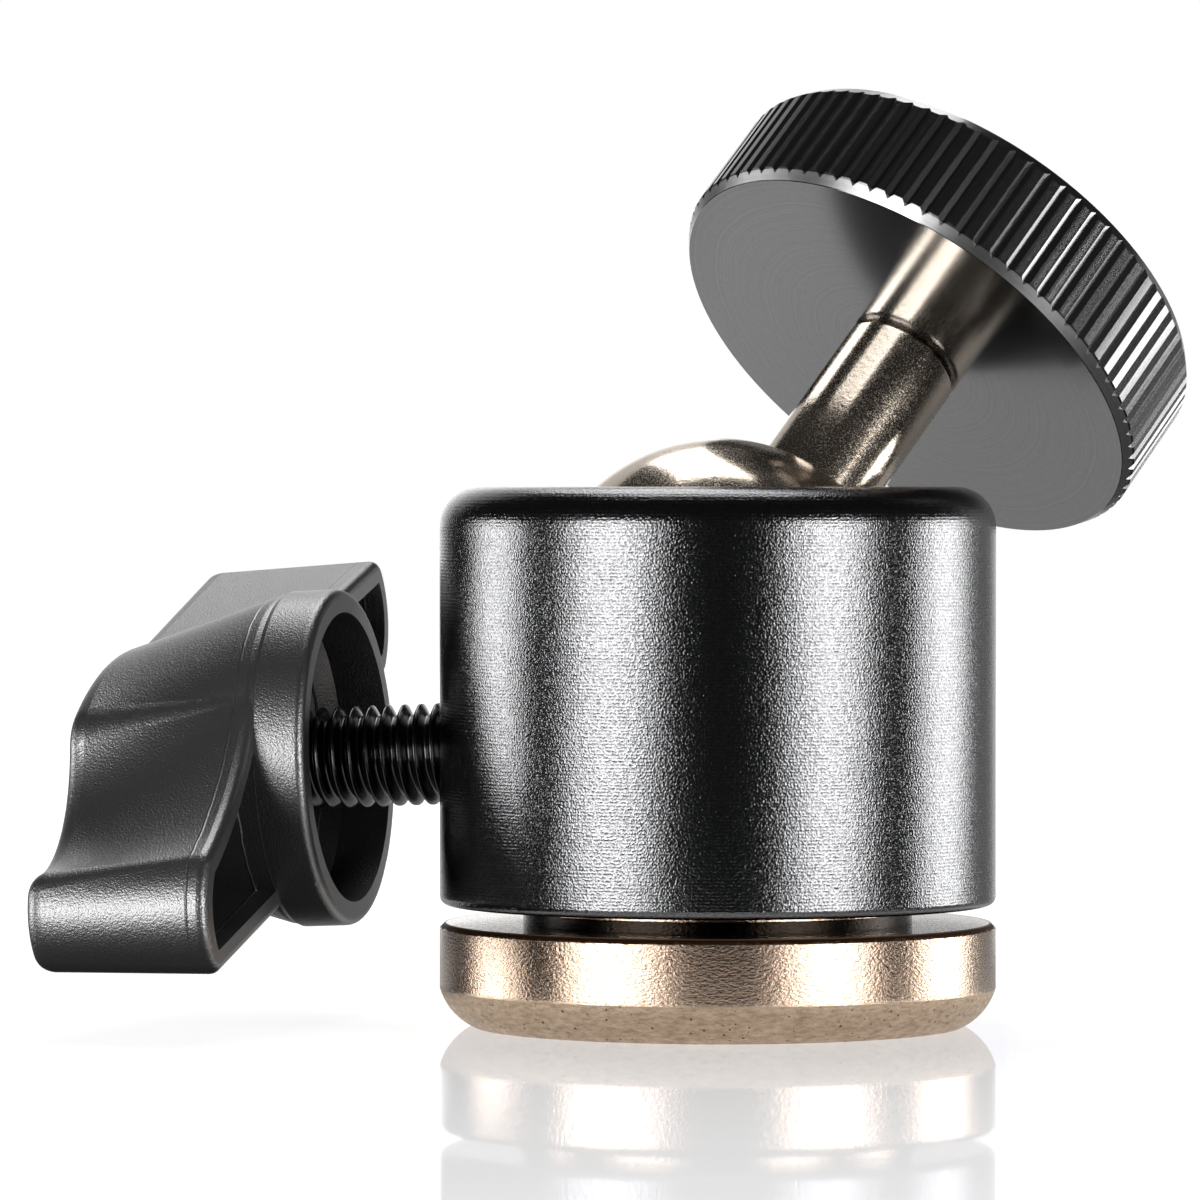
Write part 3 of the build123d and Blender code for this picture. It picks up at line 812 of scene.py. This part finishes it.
def sheet_white(material, path, parts, away):
    """A matt white that glows: one strength for the camera, and others for reflections of the sheet."""
    bright = add(
        material,
        "MapRange",
        {"Value": away, "From Min": 1.0, "From Max": DIMMED_TO, "To Min": WHITE_NEAR, "To Max": WHITE_FAR},
    )
    to_eye = add(material, "Math", {0: bright, 1: path.outputs["Is Camera Ray"]}, operation="MULTIPLY")
    # In reflections the glow is painted light and shade: full in front of the head, painted shade behind
    # it, deeper towards +X.
    behind = add(material, "MapRange", {"Value": parts.outputs["Y"], "From Max": BEHIND})
    sides = {"From Min": BEHIND_LEFT, "From Max": BEHIND_RIGHT}
    levels = {"To Min": MIRRORED_LEFT, "To Max": MIRRORED_RIGHT}
    shaded = add(material, "MapRange", {"Value": parts.outputs["X"], **sides, **levels})
    lit = add(
        material, "Mix", {"Factor": behind, "A": MIRRORED_FRONT, "B": shaded}, data_type="FLOAT"
    )
    strength = add(
        material, "Math", {0: lit, 1: path.outputs["Is Glossy Ray"], 2: to_eye}, operation="MULTIPLY_ADD"
    )
    glow = add(material, "Emission", {"Strength": strength, "Color": colour("#ffffff")})
    matt = add(material, "BsdfDiffuse", {"Color": colour("#a8a8a8")})
    return add(material, "AddShader", {0: matt, 1: glow})


print(f"sheet: white at {WHITE_NEAR} near the head and {WHITE_FAR} far off")

# %% [markdown]
# The sheet's own gloss mirrors the base. It is a strip in front of the base that narrows towards the
# camera, and its strength falls off along it. A Fresnel factor makes it strong at the camera's low angle
# and all but gone from above, as on a real glossy sheet.

# %% The sheet's gloss
GLOSS_HALF_WIDTH = 17.4 * MM
GLOSS_SIDE_EDGE = 1 * MM
VIEW_DISTANCE = 400 * MM
NARROWEST = 0.001  # not 0, because the width is divided by the taper
GLOSS_START, GLOSS_END = -15 * MM, -230 * MM
GLOSS_FRONT, GLOSS_BACK = -100 * MM, 14 * MM
GLOSS_FRONT_EDGE = 15 * MM
GLOSS_WEAK, GLOSS_STRONG = 0.27, 0.76
SHEET_IOR = 1.45


def gloss_strip(material, parts):
    """Strength of the gloss over the sheet."""
    depth = parts.outputs["Y"]
    beside = add(material, "Math", {0: parts.outputs["X"]}, operation="ABSOLUTE")
    taper = add(
        material,
        "MapRange",
        {"Value": depth, "From Min": -VIEW_DISTANCE, "From Max": 0.0, "To Min": NARROWEST},
    )
    spread = add(material, "Math", {0: beside, 1: taper}, operation="DIVIDE")
    inner = GLOSS_HALF_WIDTH - GLOSS_SIDE_EDGE
    across = add(material, "MapRange", {"Value": spread, "From Min": GLOSS_HALF_WIDTH, "From Max": inner})
    fall = {"From Min": GLOSS_END, "From Max": GLOSS_START, "To Min": GLOSS_WEAK, "To Max": GLOSS_STRONG}
    fade = add(material, "MapRange", {"Value": depth, **fall})
    outer = GLOSS_FRONT - GLOSS_FRONT_EDGE
    far_end = add(material, "MapRange", {"Value": depth, "From Min": outer, "From Max": GLOSS_FRONT})
    near_end = add(material, "MapRange", {"Value": depth, "From Min": GLOSS_BACK, "From Max": 0.0})
    ends = add(material, "Math", {0: far_end, 1: near_end}, operation="MULTIPLY")
    faded = add(material, "Math", {0: fade, 1: ends}, operation="MULTIPLY")
    return add(material, "Math", {0: across, 1: faded}, operation="MULTIPLY")


print(f"gloss strip from {GLOSS_FRONT / MM:.0f} to {GLOSS_BACK / MM:.0f} mm in Y")

# %% [markdown]
# The last part of the material is the opening. There the sheet is transparent to reflections and to shadow
# rays, and to nothing else, so the camera still sees white.

# %% The sheet's material
SHEET_EDGE = 1.4  # times the ellipse's size
KNOB_SIDE = (-18 * MM, -22 * MM)  # in X, from closed to open
KNOB_FRONT = (18 * MM, 10 * MM)  # in Y


def glossy_sheet():
    material, place = new_material("glossy_white_sheet")
    path = add(material, "LightPath")
    parts = add(material, "SeparateXYZ", {"Vector": place})
    from_middle = add(material, "VectorMath", {0: place, 1: SHEET_MIDDLE}, operation="SUBTRACT")
    shrink = (1 / SHEET_HALF[0], 1 / SHEET_HALF[1], 0)
    scaled = add(material, "VectorMath", {0: from_middle, 1: shrink}, operation="MULTIPLY")
    away = add(material, "VectorMath", {0: scaled}, operation="LENGTH")
    white = sheet_white(material, path, parts, away)

    strip = gloss_strip(material, parts)
    shine = add(material, "Fresnel", {"IOR": SHEET_IOR})
    grazing = add(material, "Math", {0: strip, 1: shine}, operation="MULTIPLY")
    share = add(material, "Math", {0: grazing, 1: path.outputs["Is Camera Ray"]}, operation="MULTIPLY")
    gloss = add(material, "BsdfGlossy", {"Color": colour("#f6f6ff"), "Roughness": 0.03})
    seen = add(material, "MixShader", {0: share, 1: white, 2: gloss})

    passing = add(
        material,
        "Math",
        {0: path.outputs["Is Glossy Ray"], 1: path.outputs["Is Shadow Ray"]},
        operation="MAXIMUM",
    )
    far = add(material, "MapRange", {"Value": away, "From Min": 1.0, "From Max": SHEET_EDGE})
    left, front = (
        add(material, "MapRange", {"Value": parts.outputs[name], "From Min": closed, "From Max": clear})
        for name, (closed, clear) in (("X", KNOB_SIDE), ("Y", KNOB_FRONT))
    )
    knob_side = add(material, "Math", {0: left, 1: front}, operation="MULTIPLY")
    open_sheet = add(material, "Math", {0: far, 1: knob_side}, operation="MAXIMUM")
    let = add(material, "Math", {0: open_sheet, 1: passing}, operation="MULTIPLY")
    clear = add(material, "BsdfTransparent")
    shader = add(material, "MixShader", {0: let, 1: seen, 2: clear})
    add(material, "OutputMaterial", {"Surface": shader})
    return material


print("reflections find the sheet open past", SHEET_EDGE, "times the ellipse")

# %% The sheet itself
SHEET_SIZE = 3.0
SHEET_GAP = 0.02 * MM  # below the base, so that the two don't share a plane
sheet_mesh = bmesh.new()
bmesh.ops.create_grid(sheet_mesh, x_segments=1, y_segments=1, size=SHEET_SIZE)
sheet_data = bpy.data.meshes.new("white_sheet")
sheet_mesh.to_mesh(sheet_data)
sheet_mesh.free()
sheet = bpy.data.objects.new("white_sheet", sheet_data)
sheet.location.z = -SHEET_GAP
sheet_data.materials.append(glossy_sheet())
bpy.context.scene.collection.objects.link(sheet)
print("sheet at z =", sheet.location.z)

# %% [markdown]
# Four soft boxes stand round the head, two in front at 45 degrees and two just behind its sides, so the
# barrel shows two broad and two narrow bands with dark between them. Two dim boxes at the back lift its far
# sides, and a wide one hangs above and behind. Each is an area lamp that looks at the head. Its size is
# given as the angle it fills as seen from there, because that is how wide it looks in the metal.

# %% Soft boxes
LOOK_AT = Vector((0, 0, 0.020))
BOX_DISTANCE = 0.7
# Name, azimuth, elevation, width and height in degrees, and radiance
BOXES = (
    ("front_left_box", -44.6, 4.0, 34, 25, 9.6),
    ("front_right_box", 46.7, 3.5, 30, 28, 9.3),
    ("side_left_box", -102.7, 0.5, 24, 20, 8.0),
    ("side_right_box", 106.4, 1.0, 27, 22, 8.6),
    ("back_right_box", 138, 0, 26, 38, 0.35),
    ("back_left_box", -164, 19, 32, 38, 0.62),
    ("top_box", -178, 57, 30, 38, 4.0),
)


def soft_box(name, azimuth, elevation, wide, high, radiance):
    """An area lamp at an azimuth from the front, turning towards +X, and an elevation, both in degrees."""
    around, up = radians(azimuth), radians(elevation)
    direction = Vector((sin(around) * cos(up), -cos(around) * cos(up), sin(up)))
    lamp = bpy.data.lights.new(name, "AREA")
    lamp.shape = "RECTANGLE"
    width, height = (2 * BOX_DISTANCE * tan(radians(angle / 2)) for angle in (wide, high))
    lamp.size, lamp.size_y = width, height
    lamp.energy = radiance * pi * width * height
    holder = bpy.data.objects.new(name, lamp)
    holder.location = LOOK_AT + direction * BOX_DISTANCE
    holder.rotation_euler = (-direction).to_track_quat("-Z", "Y").to_euler()
    bpy.context.scene.collection.objects.link(holder)
    print(f"{name}: {azimuth} degrees round, {elevation} up")


for box in BOXES:
    soft_box(*box)

# %% [markdown]
# The room is white to the camera. In reflections it is white only straight behind the head, where the
# sheet sweeps up, and nearly black elsewhere, as in a dimmed studio.

# %% World
SWEEP_EDGE, SWEEP_FULL = 0.90, 0.97  # how far a direction points to the back, at most 1
DIM_ROOM = 0.03
world = bpy.data.worlds.new("dim_studio")
bpy.context.scene.world = world
world.use_nodes = True
world.node_tree.nodes.clear()
toward = add(world, "SeparateXYZ", {"Vector": add(world, "TexCoord").outputs["Generated"]})
behind = add(
    world, "MapRange", {"Value": toward.outputs["Y"], "From Min": SWEEP_EDGE, "From Max": SWEEP_FULL}
)
room = add(world, "MapRange", {"Value": behind, "To Min": DIM_ROOM, "To Max": 1.0})
rays = add(world, "LightPath")
strength = add(world, "Math", {0: room, 1: rays.outputs["Is Camera Ray"]}, operation="MAXIMUM")
background = add(world, "Background", {"Color": colour("#ffffff"), "Strength": strength})
add(world, "OutputWorld", {"Surface": background})
print("world:", world.name, "with a room of strength", DIM_ROOM)

# %% [markdown]
# ## Camera
#
# A long lens from the front, almost level with the top of the housing, keeps the barrel's sides parallel.

# %% Camera
FOCAL_PIXELS = 6950
FRAME_PIXELS = 1200
SENSOR_WIDTH = 36.0
EYE = (0, -0.400, 0.031)
YAW, PITCH = -0.01693, 0.0163
NEAR_CLIP, FAR_CLIP = 0.01, 20.0
lens = bpy.data.cameras.new("camera")
lens.sensor_width = SENSOR_WIDTH
lens.lens = SENSOR_WIDTH * FOCAL_PIXELS / FRAME_PIXELS
lens.clip_start, lens.clip_end = NEAR_CLIP, FAR_CLIP
camera = bpy.data.objects.new("camera", lens)
camera.location = EYE
gaze = Vector((sin(YAW) * cos(PITCH), cos(YAW) * cos(PITCH), -sin(PITCH)))
camera.rotation_euler = gaze.to_track_quat("-Z", "Y").to_euler()
bpy.context.scene.collection.objects.link(camera)
bpy.context.scene.camera = camera
bpy.context.scene.view_settings.view_transform = "Standard"
print(f"camera: {lens.lens:.1f} mm lens")
